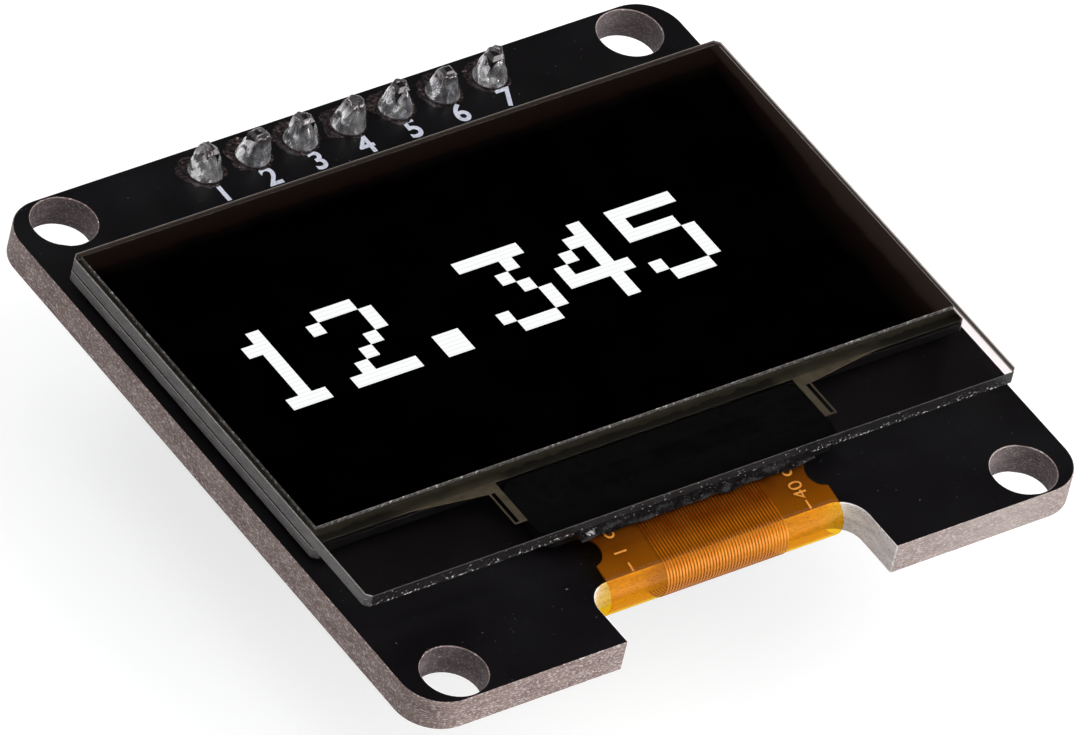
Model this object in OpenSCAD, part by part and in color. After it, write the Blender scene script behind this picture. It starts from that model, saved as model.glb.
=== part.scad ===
// Small OLED display module: a glass panel taped to a circuit board, with its
// flat cable folded round the board's edge and a seven-way pin header behind.
// Origin: centre of the four mounting holes on the board's back face.
// +X runs along the pin row, +Y towards the header edge, +Z out of the screen.

/* [Board] */
// Width of the board, along the pin row
board_w = 35.4; // [34.8:0.1:40]
// Height of the board
board_h = 33.5; // [33.2:0.1:38]
// Thickness of the board
board_t = 1.6; // [1.2:0.1:2]
// Radius of the board's corners
corner_r = 2; // [1:0.1:2.4]
// Diameter of the mounting holes
hole_d = 3; // [2.2:0.1:3.2]
// Board left between each mounting hole and the left or right edge
hole_wall_x = 1.05; // [0.6:0.05:1.4]
// Board left between each mounting hole and the upper or lower edge
hole_wall_y = 0.15; // [0.1:0.05:0.8]
// Width of the cable notch
notch_w = 14.3; // [13.6:0.1:16]
// Distance from the display's lower edge to the notch's floor
notch_gap = 2.28; // [2.2:0.02:2.6]
// Radius in the notch's inner corners
notch_r = 1.25; // [0.5:0.05:1.6]

/* [Display panel] */
// Width of both glass plates
panel_w = 34.6; // [33.8:0.1:34.8]
// Height of the front glass, with the contact ledge
panel_h = 23; // [22.5:0.1:23.5]
// How far the panel's centre lies from the board's centre along X
panel_x = 0.1; // [0:0.05:0.2]
// How far the panel's centre lies from the board's centre along Y
panel_y = 0.43; // [0.2:0.01:0.6]
// Thickness of the front glass
front_glass_t = 0.65; // [0.5:0.05:0.7]
// Thickness of the rear glass
rear_glass_t = 0.5; // [0.5:0.05:0.7]
// Height of the contact ledge, where the front glass passes the rear glass
ledge_h = 3.8; // [3.4:0.1:4.2]
// Cut across the corners of the glass plates
glass_chamfer = 0.25; // [0.1:0.05:0.5]
// Depth of the pocket etched in the rear glass
pocket_depth = 0.25; // [0.15:0.05:0.3]
// Width of the seal between the glass plates
seal_w = 1; // [0.7:0.1:1.4]
// Distance from the edge of the rear glass to the seal
seal_inset = 0.15; // [0.05:0.05:0.3]
// Thickness of the seal between the glass plates
seal_t = 0.08; // [0.06:0.01:0.12]
// Thickness of the light-emitting film
emitter_t = 0.04; // [0.03:0.01:0.05]
// Thickness of the moisture absorber
getter_t = 0.12; // [0.08:0.01:0.14]
// Thickness of the foam tape behind the panel
tape_t = 0.3; // [0.2:0.05:0.6]
// Distance from the edge of the rear glass to the edge of the tape
tape_inset = 0.6; // [0.3:0.1:1.5]
// Front glass left bare on the polariser's left
polariser_left_gap = 0.2; // [0.1:0.05:0.6]
// Front glass left bare on the polariser's right
polariser_right_gap = 0.4; // [0.1:0.05:0.6]
// Thickness of the polariser
polariser_t = 0.2; // [0.1:0.05:0.25]
// Front glass left bare above the polariser
polariser_top_gap = 0.43; // [0.2:0.01:0.6]
// How far the polariser ends above the contact ledge
polariser_ledge_gap = 0.57; // [0.2:0.01:1]

/* [Contact ledge] */
// Length of the driver chip
chip_w = 9.6; // [7:0.1:11]
// Width of the driver chip
chip_h = 1; // [0.8:0.1:1.2]
// Thickness of the driver chip
chip_t = 0.3; // [0.2:0.05:0.4]
// Distance from the chip to the edge of the rear glass
chip_gap = 1; // [0.8:0.1:1.2]
// Width of the black cover round the chip
cover_w = 15.8; // [13.5:0.1:16]
// Thickness of the cover behind the chip
cover_back_t = 0.12; // [0.08:0.01:0.16]
// Length of the two metal test marks
mark_len = 2; // [1.5:0.1:2.4]
// Width of the broad line in each mark
mark_line = 0.35; // [0.15:0.01:0.4]
// How far the metal film spreads outwards from each mark
metal_spread = 4.6; // [3:0.1:6]
// How far the metal film shows below the rear glass at each mark
metal_drop = 0.4; // [0.3:0.05:0.6]
// Thickness of the metal film on the glass
metal_t = 0.03; // [0.02:0.01:0.04]

/* [Flat cable] */
// Width of the cable
cable_w = 12.3; // [11.6:0.1:12.6]
// Thickness of the cable's plastic film
film_t = 0.08; // [0.06:0.01:0.12]
// Thickness of the copper tracks
track_t = 0.02; // [0.02:0.01:0.04]
// Number of tracks
track_count = 40; // [24:2:40]
// Distance between tracks where the cable bends
track_pitch = 0.163; // [0.15:0.001:0.17]
// Width of a track
track_w = 0.085; // [0.06:0.005:0.1]
// Distance between tracks at the soldered end
finger_pitch = 0.29; // [0.25:0.01:0.3]
// Width of a soldered finger
finger_w = 0.16; // [0.12:0.01:0.2]
// Length of the bond to the glass
bond_len = 1; // [0.7:0.1:1.2]
// Thickness of the adhesive film in the bond
bond_t = 0.03; // [0.02:0.01:0.05]
// Air between the board's front face and the cable, where the cable turns down
edge_clear = 0.35; // [0.3:0.01:0.5]
// Radius of the first, slight bend below the glass
first_bend_r = 4; // [3:0.5:5]
// Length of the cable that lies flat behind the board
tail_len = 4.2; // [3.8:0.1:5]
// Length of the soldered fingers
finger_len = 1.2; // [0.9:0.1:1.4]
// Length over which the tracks spread to the fingers
fan_len = 1.8; // [1.4:0.1:2.2]
// Length of the lands past the cable's end
cable_land_reach = 1.3; // [1.1:0.1:1.8]
// Radius of the round cut in each side of the cable
side_cut_r = 0.75; // [0.5:0.05:0.9]

/* [Header] */
// Number of pins
pin_count = 7; // [7:1:9]
// Distance between pins
pin_pitch = 2.54; // [2.5:0.01:2.54]
// Width of the square pins
pin_w = 0.64; // [0.5:0.01:0.66]
// Distance from the pin row to the board's edge
pin_row_inset = 1.5; // [1.3:0.1:1.6]
// Length of pin past the header's body
pin_free_len = 6; // [3:0.5:12]
// Length of pin that shows above the solder
pin_show = 0.165; // [0.12:0.005:0.4]
// Height of the header's body
header_h = 2.54; // [1.5:0.01:2.6]
// Play of a pin's corners in its hole
pin_play = 0.095; // [0.05:0.005:0.2]
// Wall of the plated sleeves
sleeve_wall = 0.05; // [0.03:0.01:0.08]
// Diameter of the round lands
round_land_d = 1.7; // [1.5:0.05:1.9]
// Height of the solder cones over the lands
cone_h = 1.2; // [0.8:0.1:1.2]
// Solder left round a pin's corners at the top of its cone
cone_rim = 0.05; // [0.04:0.01:0.12]

/* [Small parts] */
// Thickness of the copper lands
land_t = 0.035; // [0.03:0.005:0.05]
// Length of a chip capacitor or resistor
chip_part_l = 1.6; // [1.4:0.1:1.8]
// Width of a chip capacitor or resistor
chip_part_w = 0.8; // [0.6:0.05:0.9]
// Height of a chip capacitor
capacitor_h = 0.8; // [0.6:0.05:0.9]
// Height of a chip resistor
resistor_h = 0.45; // [0.35:0.05:0.55]
// Length of a metal end on a chip part
end_l = 0.3; // [0.2:0.05:0.4]
// Length of the regulator's body
regulator_l = 2.9; // [2.7:0.1:3.1]
// Width of the regulator's body
regulator_w = 1.3; // [1.2:0.05:1.5]
// Height of the regulator's body
regulator_h = 1; // [0.8:0.05:1.1]
// Length of the diode's body
diode_l = 2.7; // [2.5:0.1:2.9]
// Width of the diode's body
diode_w = 1.6; // [1.4:0.05:1.8]
// Height of the diode's body
diode_h = 1.1; // [0.9:0.05:1.2]

/* [Hidden] */
$fn = 48;
// Overshoot that keeps cutting shapes clear of the faces they cut
cut = 0.5;
// Steps in the cable's slight first bend and in its round one
first_bend_steps = 3;
bend_steps = 14;

// Levels, from the board's back face upwards
rear_glass_z = board_t + tape_t;
seal_z = rear_glass_z + rear_glass_t;
front_glass_z = seal_z + seal_t;
polariser_z = front_glass_z + front_glass_t;

// Mounting holes
hole_pitch_x = board_w - hole_d - 2 * hole_wall_x;
hole_pitch_y = board_h - hole_d - 2 * hole_wall_y;

// Edges of the panel
panel_left = panel_x - panel_w / 2;
panel_top = panel_y + panel_h / 2;
ledge_edge = panel_y - panel_h / 2;
rear_glass_edge = ledge_edge + ledge_h;
rear_glass_h = panel_h - ledge_h;
polariser_edge = rear_glass_edge + polariser_ledge_gap;
polariser_top = panel_top - polariser_top_gap;
seal_inside = seal_inset + seal_w;

// Notch in the board's lower edge
notch_y = ledge_edge - notch_gap;
notch_depth = board_h / 2 + notch_y;

// Driver chip and its cover, behind the contact ledge
chip_top = rear_glass_edge - chip_gap;
cover_top = rear_glass_edge - 0.05;
cover_bottom = ledge_edge + 0.1;
cover_h = cover_top - cover_bottom;
cover_t = chip_t + cover_back_t;

// Run of the cable's outer face, from the bond, round the notch, to the back.
// Its straight slope touches both the slight first bend and the round one.
bond_edge = ledge_edge + 0.1;
bend_inset = 0.16;
bend_y = notch_y + bend_inset;
outer_start_z = front_glass_z - bond_t - track_t;
outer_end_z = -land_t - film_t;
bend_r = (board_t + edge_clear + film_t - outer_end_z) / 2;
bend_z = outer_end_z + bend_r;
bends_run = bond_edge - bend_y;
bends_drop = bend_z + first_bend_r - outer_start_z;
slope = asin((first_bend_r - bend_r) / norm([bends_run, bends_drop]))
    - atan2(bends_drop, bends_run);
ramp_y = bond_edge - first_bend_r * sin(slope);
tail_end = bend_y + tail_len;
side_cut_y = (ramp_y + bend_y) / 2 + side_cut_r * 2 / 3;

// Soldered end of the cable
finger_start = tail_end - finger_len;
fan_start = finger_start - fan_len;

// Header
pin_row_y = board_h / 2 - pin_row_inset;
header_top_z = -land_t;
header_bottom_z = header_top_z - header_h;
header_depth = 2.5;
header_waist = header_depth / 5;
cone_z = board_t + land_t;
cone_top_r = pin_w / sqrt(2) + cone_rim;
pin_hole_d = pin_w * sqrt(2) + pin_play;
pin_bottom_z = header_bottom_z - pin_free_len;
pin_top_z = cone_z + cone_h + pin_show;
pin_point = pin_w / 4;

// Where the small parts sit behind the board: x, y and turn
capacitor_spots = [
    [-13, -5, 90], [-10.5, -5, 90], [-8, -5, 90], [8.5, -5, 90],
    [11, -5, 90], [13.5, -5, 90], [5.5, 5.5, 0], [13, 5.5, 90]
];
resistor_spots = [
    [-12, 0.5, 0], [-12, 2.5, 0], [-12, 4.5, 0], [-12, 6.5, 0],
    [-4, -3.5, 90], [-1.5, -3.5, 90], [1, -3.5, 90], [3.5, -3.5, 90]
];
regulator_spot = [9.5, 5.5, 0];
diode_spot = [-5, 6, 0];

// Lands and solder of the small parts
chip_land_l = 0.9;
chip_land_w = chip_part_w + 0.15;
chip_land_x = chip_part_l / 2 + 0.1;
fillet_l = 0.3;
lead_w = 0.4;
lead_t = 0.15;
lead_foot = 0.35;
lead_run = 0.6;
lead_land_l = 0.9;
lead_land_w = 0.7;
regulator_lead_x = 0.95;
regulator_reach = regulator_w / 2 + lead_run;
diode_reach = diode_l / 2 + lead_run;
body_lift = 0.06;

function centred(i, count, pitch) = (i - (count - 1) / 2) * pitch;

module at_pins() {
    for (i = [0 : pin_count - 1])
        translate([centred(i, pin_count, pin_pitch), pin_row_y, 0]) children();
}

module at_spots(spots) {
    for (s = spots) translate([s[0], s[1], 0]) rotate([0, 0, s[2]]) children();
}

module at_ends() {
    for (turn = [0, 180]) rotate([0, 0, turn]) children();
}

// A box given by its low corner and its size
module block(x, y, z, w, h, t) {
    translate([x, y, z]) cube([w, h, t]);
}

// ---- Board -----------------------------------------------------------

module rounded_rectangle(w, h, r) {
    square([w - 2 * r, h], center = true);
    square([w, h - 2 * r], center = true);
    for (x = [-1, 1], y = [-1, 1])
        translate([x * (w / 2 - r), y * (h / 2 - r)]) circle(r);
}

// Notch open to -Y, with its floor at y = 0 and round inner corners
module notch_outline(w, depth, r) {
    translate([-w / 2, -depth - cut]) square([w, depth + cut - r]);
    translate([-w / 2 + r, -depth]) square([w - 2 * r, depth]);
    for (side = [-1, 1]) translate([side * (w / 2 - r), -r]) circle(r);
}

module board() {
    color("#17171a")
    linear_extrude(board_t)
    difference() {
        rounded_rectangle(board_w, board_h, corner_r);
        translate([0, notch_y]) notch_outline(notch_w, notch_depth, notch_r);
        for (x = [-1, 1], y = [-1, 1])
            translate([x * hole_pitch_x / 2, y * hole_pitch_y / 2]) circle(d = hole_d);
        for (i = [0 : pin_count - 1])
            translate([centred(i, pin_count, pin_pitch), pin_row_y])
                circle(d = pin_hole_d + 2 * sleeve_wall);
    }
}

// ---- Header ----------------------------------------------------------

// Plated hole: a sleeve with a round land on each face
module header_sleeves() {
    color("#c9b27a")
    at_pins()
    difference() {
        union() {
            cylinder(h = board_t, d = pin_hole_d + 2 * sleeve_wall);
            for (z = [-land_t, board_t])
                translate([0, 0, z]) cylinder(h = land_t, d = round_land_d);
        }
        translate([0, 0, -land_t - cut])
            cylinder(h = board_t + 2 * land_t + 2 * cut, d = pin_hole_d);
    }
}

// One bay of the header: a square with its corners cut to a waist
module header_bay() {
    x = pin_pitch / 2;
    y = header_depth / 2;
    polygon([
        [-x, header_waist - y], [header_waist - x, -y], [x - header_waist, -y],
        [x, header_waist - y], [x, y - header_waist], [x - header_waist, y],
        [header_waist - x, y], [-x, y - header_waist]
    ]);
}

module header_body() {
    color("#141414")
    translate([0, 0, header_bottom_z])
    linear_extrude(header_h)
    difference() {
        union() for (i = [0 : pin_count - 1])
            translate([centred(i, pin_count, pin_pitch), pin_row_y]) header_bay();
        for (i = [0 : pin_count - 1])
            translate([centred(i, pin_count, pin_pitch), pin_row_y])
                square(pin_w, center = true);
    }
}

// Side view of a pin, with blunt points at both ends
module pin_side() {
    w = pin_w / 2;
    n = w / 2;
    polygon([
        [-n, pin_bottom_z], [n, pin_bottom_z], [w, pin_bottom_z + pin_point],
        [w, pin_top_z - pin_point], [n, pin_top_z], [-n, pin_top_z],
        [-w, pin_top_z - pin_point], [-w, pin_bottom_z + pin_point]
    ]);
}

module pin() {
    intersection() {
        rotate([90, 0, 0]) linear_extrude(pin_w, center = true) pin_side();
        rotate([90, 0, 90]) linear_extrude(pin_w, center = true) pin_side();
    }
}

module header_pins() {
    color("#d8c690") at_pins() pin();
}

// Solder: it fills the sleeve round the pin and rises to a full cone
module header_joints() {
    steps = 6;
    foot_r = round_land_d / 2;
    swell = 0.75;
    cone = [for (i = [0 : steps])
        [cone_top_r + (foot_r - cone_top_r) * pow(1 - i / steps, swell),
            cone_z + cone_h * i / steps]];
    color("#b9bcc0")
    at_pins()
    difference() {
        union() {
            rotate_extrude() polygon(concat([[0, cone_z]], cone, [[0, cone_z + cone_h]]));
            translate([0, 0, -land_t]) cylinder(h = board_t + 2 * land_t, d = pin_hole_d);
        }
        pin();
    }
}

// ---- Display panel ---------------------------------------------------

module glass_outline(w, h) {
    c = glass_chamfer;
    polygon([
        [c, 0], [w - c, 0], [w, c], [w, h - c],
        [w - c, h], [c, h], [0, h - c], [0, c]
    ]);
}

module mounting_tape() {
    color("#101011")
    block(panel_left + tape_inset, rear_glass_edge + tape_inset, board_t,
        panel_w - 2 * tape_inset, rear_glass_h - 2 * tape_inset, tape_t);
}

// Rear glass with a shallow pocket etched in its inner face
module rear_glass() {
    color("#9fb0ae", 0.5)
    difference() {
        translate([panel_left, rear_glass_edge, rear_glass_z])
            linear_extrude(rear_glass_t) glass_outline(panel_w, rear_glass_h);
        block(panel_left + seal_inside, rear_glass_edge + seal_inside, seal_z - pocket_depth,
            panel_w - 2 * seal_inside, rear_glass_h - 2 * seal_inside, pocket_depth + cut);
    }
}

// Moisture absorber, stuck to the floor of the pocket
module getter_sheet() {
    inset = seal_inside + 1.2;
    color("#cfcfc8")
    block(panel_left + inset, rear_glass_edge + inset, seal_z - pocket_depth,
        panel_w - 2 * inset, rear_glass_h - 2 * inset, getter_t);
}

module seal_bead() {
    color("#6b6152")
    translate([panel_left, rear_glass_edge, seal_z])
    linear_extrude(seal_t)
    difference() {
        translate([seal_inset, seal_inset])
            square([panel_w - 2 * seal_inset, rear_glass_h - 2 * seal_inset]);
        translate([seal_inside, seal_inside])
            square([panel_w - 2 * seal_inside, rear_glass_h - 2 * seal_inside]);
    }
}

// Light-emitting layers and their metal electrode, on the front glass's inner face
module emitter_film() {
    inset = seal_inside + 0.1;
    color("#08080a")
    block(panel_left + inset, rear_glass_edge + inset, front_glass_z - emitter_t,
        panel_w - 2 * inset, rear_glass_h - 2 * inset, emitter_t);
}

// Metal film right of the cover: a wedge from the seal that ends in a test mark,
// which is a broad line and a thin one, joined at the bottom
module metal_outline() {
    gap = 0.22;
    thin = 0.08;
    mark_w = mark_line + gap + thin;
    bottom = -metal_drop - mark_len;
    polygon([
        [0, seal_inset], [metal_spread, seal_inset],
        [mark_w, -metal_drop], [0, -metal_drop]
    ]);
    translate([0, bottom]) square([mark_line, mark_len + cut / 5]);
    translate([mark_line + gap, bottom]) square([thin, mark_len + cut / 5]);
    translate([0, bottom]) square([mark_w, thin]);
}

module metal_film() {
    clear = 0.02;
    color("#7d7566")
    for (side = [0, 1])
        translate([panel_x, rear_glass_edge, front_glass_z - metal_t])
            linear_extrude(metal_t)
                mirror([side, 0]) translate([cover_w / 2 + clear, 0]) metal_outline();
}

module front_glass() {
    color("#a9bab8", 0.4)
    translate([panel_left, ledge_edge, front_glass_z])
        linear_extrude(front_glass_t) glass_outline(panel_w, panel_h);
}

module polariser() {
    color("#050506")
    block(panel_left + polariser_left_gap, polariser_edge, polariser_z,
        panel_w - polariser_left_gap - polariser_right_gap, polariser_top - polariser_edge,
        polariser_t);
}

module driver_chip() {
    color("#3a3a40")
    block(panel_x - chip_w / 2, chip_top - chip_h, front_glass_z - chip_t,
        chip_w, chip_h, chip_t);
}

// Black cover, moulded over the chip and the cable's end against the front glass
module chip_cover() {
    r = 0.8;
    color("#0c0c0d")
    difference() {
        translate([panel_x, (cover_top + cover_bottom) / 2, front_glass_z - cover_t])
            linear_extrude(cover_t) rounded_rectangle(cover_w, cover_h, r);
        block(panel_x - chip_w / 2, chip_top - chip_h, front_glass_z - chip_t,
            chip_w, chip_h, chip_t + cut);
        block(-cable_w / 2, cover_bottom - cut, outer_start_z - film_t,
            cable_w, cut + bond_len, film_t + chip_t);
    }
}

// ---- Flat cable ------------------------------------------------------

function arc_points(y, z, r, from, to, steps) = [for (i = [0 : steps])
    let (a = from + (to - from) * i / steps) [y + r * cos(a), z + r * sin(a)]];

function reversed(points) = [for (i = [len(points) - 1 : -1 : 0]) points[i]];

// Side view of the cable's run, d outside its outer face: along the glass, down
// to the notch, round the board's edge and back behind the board as far as end
function run_line(d, end) = concat(
    [[bond_edge + bond_len, outer_start_z + d]],
    arc_points(bond_edge, outer_start_z - first_bend_r, first_bend_r + d,
        90, 90 + slope, first_bend_steps),
    arc_points(bend_y, bend_z, bend_r + d, 90 + slope, 270, bend_steps),
    [[end, outer_end_z - d]]
);

// A strip that follows the cable, from inner to outer outside its outer face
module cable_run(w, inner, outer, end) {
    rotate([90, 0, 90])
    linear_extrude(w, center = true)
    polygon(concat(run_line(outer, end), reversed(run_line(inner, end))));
}

module cable_film() {
    color("#c8861a")
    difference() {
        cable_run(cable_w, -film_t, 0, tail_end);
        for (side = [-1, 1])
            translate([side * (cable_w / 2 + 0.1), side_cut_y, board_t])
                cylinder(h = board_t, r = side_cut_r);
    }
}

// A track on the flat tail that spreads from the bend's pitch to the fingers'
module track_fan(i) {
    x0 = centred(i, track_count, track_pitch);
    x1 = centred(i, track_count, finger_pitch);
    polygon([
        [x0 - track_w / 2, fan_start], [x0 + track_w / 2, fan_start],
        [x1 + finger_w / 2, finger_start], [x1 + finger_w / 2, tail_end],
        [x1 - finger_w / 2, tail_end], [x1 - finger_w / 2, finger_start]
    ]);
}

module cable_tracks() {
    color("#b8702c")
    for (i = [0 : track_count - 1]) {
        translate([centred(i, track_count, track_pitch), 0, 0])
            cable_run(track_w, 0, track_t, fan_start);
        translate([0, 0, outer_end_z - track_t]) linear_extrude(track_t) track_fan(i);
    }
}

// Adhesive film that joins the cable's tracks to the front glass
module bond_film() {
    color("#8f8a7c")
    block(-cable_w / 2, bond_edge, front_glass_z - bond_t, cable_w, bond_len, bond_t);
}

// Resin along the glass edge, over the start of the cable
module edge_resin() {
    reach = 0.5;
    half = front_glass_t * 0.46;
    color("#d9d9d4", 0.5)
    difference() {
        rotate([90, 0, 90])
        linear_extrude(cable_w, center = true)
        polygon([
            [ledge_edge, front_glass_z - half], [ledge_edge, front_glass_z + half],
            [ledge_edge - reach * 0.3, front_glass_z + half / 2],
            [ledge_edge - reach, front_glass_z - half * 0.4],
            [ledge_edge - reach, front_glass_z - half]
        ]);
        cable_run(cable_w + 2 * cut, -film_t - cut, 0, tail_end);
        for (i = [0 : track_count - 1])
            translate([centred(i, track_count, track_pitch), 0, 0])
                cable_run(track_w, -film_t, track_t, fan_start);
    }
}

// Lands behind the board for the cable's fingers
module cable_lands() {
    color("#c9b27a")
    for (i = [0 : track_count - 1])
        block(centred(i, track_count, finger_pitch) - finger_w / 2, finger_start, -land_t,
            finger_w, finger_len + cable_land_reach, land_t);
}

// Solder from the end of each finger down to its land
module cable_joints() {
    z = outer_end_z - track_t;
    e = tail_end;
    back = finger_len / 2;
    reach = cable_land_reach * 0.85;
    swell = film_t * 1.5;
    color("#b9bcc0")
    for (i = [0 : track_count - 1])
        translate([centred(i, track_count, finger_pitch), 0, 0])
        rotate([90, 0, 90])
        linear_extrude(finger_w, center = true)
        polygon([
            [e - back, z], [e, z], [e, -land_t], [e + reach, -land_t], [e + reach * 0.8, z],
            [e + reach * 0.35, z - swell * 0.8], [e - back * 0.3, z - swell],
            [e - back * 0.85, z - swell / 2]
        ]);
}

// ---- Small parts behind the board --------------------------------------

// Both ends of a chip part, in its own frame
module chip_ends(h) {
    for (side = [-1, 1])
        translate([side * (chip_part_l - end_l) / 2, 0, -land_t - h / 2])
            cube([end_l, chip_part_w, h], center = true);
}

module chip_middle(h, t, z) {
    translate([0, 0, z - t / 2])
        cube([chip_part_l - 2 * end_l, chip_part_w - 0.04, t], center = true);
}

// Hollow solder fillet against an end face at x = 0, rising below the land
module fillet(w, h) {
    rotate([90, 0, 0])
    linear_extrude(w, center = true)
    difference() {
        translate([0, -h]) square([fillet_l, h]);
        translate([fillet_l, -h]) circle(r = min(fillet_l * 0.8, h * 0.9));
    }
}

module chip_lands() {
    for (side = [-1, 1])
        translate([side * chip_land_x, 0, -land_t / 2])
            cube([chip_land_l, chip_land_w, land_t], center = true);
}

module chip_fillets(h) {
    at_ends() translate([chip_part_l / 2, 0, -land_t]) fillet(chip_part_w - 0.1, h);
}

// Leads of the regulator: two on one side and one on the other
module at_regulator_leads() {
    for (x = [-regulator_lead_x, regulator_lead_x]) translate([x, 0, 0]) rotate([0, 0, -90]) children();
    rotate([0, 0, 90]) children();
}

// Bent lead in the side view, leaving the body along +X at the body's half height
module bent_lead(body_edge, reach, body_h) {
    exit_z = -land_t - body_lift - body_h / 2;
    rotate([90, 0, 0])
    linear_extrude(lead_w, center = true)
    polygon([
        [body_edge, exit_z - lead_t / 2], [body_edge, exit_z + lead_t / 2],
        [reach - lead_foot - lead_t, exit_z + lead_t / 2],
        [reach - lead_foot, -land_t], [reach, -land_t], [reach, -land_t - lead_t],
        [reach - lead_foot + lead_t * 0.7, -land_t - lead_t],
        [reach - lead_foot - lead_t * 0.4, exit_z - lead_t / 2]
    ]);
}

// Moulded body with sloping sides, widest where the leads come out
module moulded_body(l, w, h) {
    draft = 0.08;
    mid = -land_t - body_lift - h / 2;
    for (side = [-1, 1])
        hull() {
            translate([0, 0, mid + side * lead_t / 4]) cube([l, w, lead_t / 2], center = true);
            translate([0, 0, mid + side * (h / 2 - lead_t / 4)])
                cube([l - 2 * draft, w - 2 * draft, lead_t / 2], center = true);
        }
}

module lead_land() {
    translate([-lead_land_l / 2, -lead_land_w / 2, -land_t]) cube([lead_land_l, lead_land_w, land_t]);
}

module lead_fillet() {
    translate([0, 0, -land_t]) fillet(lead_w, lead_t);
}

module part_lands() {
    color("#c9b27a") {
        at_spots(concat(capacitor_spots, resistor_spots)) chip_lands();
        at_spots([regulator_spot]) at_regulator_leads()
            translate([regulator_reach - lead_foot / 3, 0, 0]) lead_land();
        at_spots([diode_spot]) at_ends()
            translate([diode_reach - lead_foot / 3, 0, 0]) lead_land();
    }
}

module part_joints() {
    color("#b9bcc0") {
        at_spots(capacitor_spots) chip_fillets(capacitor_h * 0.6);
        at_spots(resistor_spots) chip_fillets(resistor_h * 0.8);
        at_spots([regulator_spot]) at_regulator_leads()
            translate([regulator_reach, 0, 0]) lead_fillet();
        at_spots([diode_spot]) at_ends() translate([diode_reach, 0, 0]) lead_fillet();
    }
}

module capacitor_bodies() {
    color("#9c7a58") at_spots(capacitor_spots)
        chip_middle(capacitor_h, capacitor_h - 0.04, -land_t - 0.02);
}

module capacitor_ends() {
    color("#c2c4c6") at_spots(capacitor_spots) chip_ends(capacitor_h);
}

module resistor_bodies() {
    color("#e8e6e0") at_spots(resistor_spots)
        chip_middle(resistor_h, resistor_h - 0.07, -land_t - 0.02);
}

// Dark overcoat on the outer face of each resistor
module resistor_coats() {
    color("#151515") at_spots(resistor_spots)
        translate([0, 0, -land_t - resistor_h + 0.025])
            cube([chip_part_l - 2 * end_l, chip_part_w - 0.04, 0.05], center = true);
}

module resistor_ends() {
    color("#c2c4c6") at_spots(resistor_spots) chip_ends(resistor_h);
}

module regulator_body() {
    color("#1a1a1b") at_spots([regulator_spot]) moulded_body(regulator_l, regulator_w, regulator_h);
}

module regulator_leads() {
    color("#c2c4c6") at_spots([regulator_spot]) at_regulator_leads()
        bent_lead(regulator_w / 2, regulator_reach, regulator_h);
}

module diode_body() {
    color("#1a1a1b") at_spots([diode_spot]) moulded_body(diode_l, diode_w, diode_h);
}

module diode_leads() {
    color("#c2c4c6") at_spots([diode_spot]) at_ends()
        bent_lead(diode_l / 2, diode_reach, diode_h);
}

board();
header_sleeves();
header_body();
header_pins();
header_joints();
mounting_tape();
rear_glass();
getter_sheet();
seal_bead();
emitter_film();
metal_film();
front_glass();
polariser();
driver_chip();
chip_cover();
edge_resin();
bond_film();
cable_film();
cable_tracks();
cable_lands();
cable_joints();
part_lands();
capacitor_bodies();
capacitor_ends();
resistor_bodies();
resistor_coats();
resistor_ends();
part_joints();
regulator_body();
regulator_leads();
diode_body();
diode_leads();
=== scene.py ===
# %% [markdown]
# # A small OLED display module
# The real object is a black circuit board about as wide as a matchbox. A glass
# display is taped to its front, and a thin amber cable folds round the board's
# edge to the solder joints behind. The solid model is loaded first and never
# moved. Blender then adds what makes it look real: ground glass edges, a lit
# screen, lumps of solder, printed numbers and the finish of every surface.

# %% Load the solid model
import math
from contextlib import contextmanager

import bpy
from mathutils import Matrix, Vector, noise


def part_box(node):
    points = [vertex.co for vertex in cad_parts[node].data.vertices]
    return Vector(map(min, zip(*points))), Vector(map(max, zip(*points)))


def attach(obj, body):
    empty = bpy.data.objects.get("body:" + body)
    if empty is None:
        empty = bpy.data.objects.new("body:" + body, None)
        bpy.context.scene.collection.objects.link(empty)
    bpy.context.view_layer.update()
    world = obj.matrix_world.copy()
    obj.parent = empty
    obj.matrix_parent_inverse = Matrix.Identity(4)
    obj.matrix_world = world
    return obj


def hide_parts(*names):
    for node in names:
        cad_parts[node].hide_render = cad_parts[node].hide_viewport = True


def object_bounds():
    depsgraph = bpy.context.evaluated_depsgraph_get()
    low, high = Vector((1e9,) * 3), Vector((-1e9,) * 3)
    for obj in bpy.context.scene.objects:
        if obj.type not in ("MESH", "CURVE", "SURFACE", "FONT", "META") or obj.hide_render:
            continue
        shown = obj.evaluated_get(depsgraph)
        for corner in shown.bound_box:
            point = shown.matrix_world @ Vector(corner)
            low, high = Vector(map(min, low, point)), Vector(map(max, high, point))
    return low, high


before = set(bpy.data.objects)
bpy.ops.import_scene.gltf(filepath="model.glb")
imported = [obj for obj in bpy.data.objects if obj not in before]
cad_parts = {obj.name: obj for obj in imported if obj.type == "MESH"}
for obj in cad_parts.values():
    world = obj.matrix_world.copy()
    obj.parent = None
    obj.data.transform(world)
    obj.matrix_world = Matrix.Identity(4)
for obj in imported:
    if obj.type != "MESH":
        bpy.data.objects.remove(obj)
solid_low, solid_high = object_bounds()
MM = 0.001
BOARD_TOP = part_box("board")[1].z
print("nodes:", len(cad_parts), "size in mm:", [round(v / MM, 2) for v in solid_high - solid_low])

# %% [markdown]
# ## The camera
# The object is seen from above its lower left corner, through a very long lens
# from far away, so that its edges stay nearly parallel. The camera is also
# rolled a little, which sets the display at a lively slant in the picture.

# %% Camera
AIM = Vector((-0.95, -1.08, 1.6)) * MM
DISTANCE = 804.8 * MM
TURN, LIFT, ROLL = math.radians(44.2), math.radians(41.96), math.radians(14.05)

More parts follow.
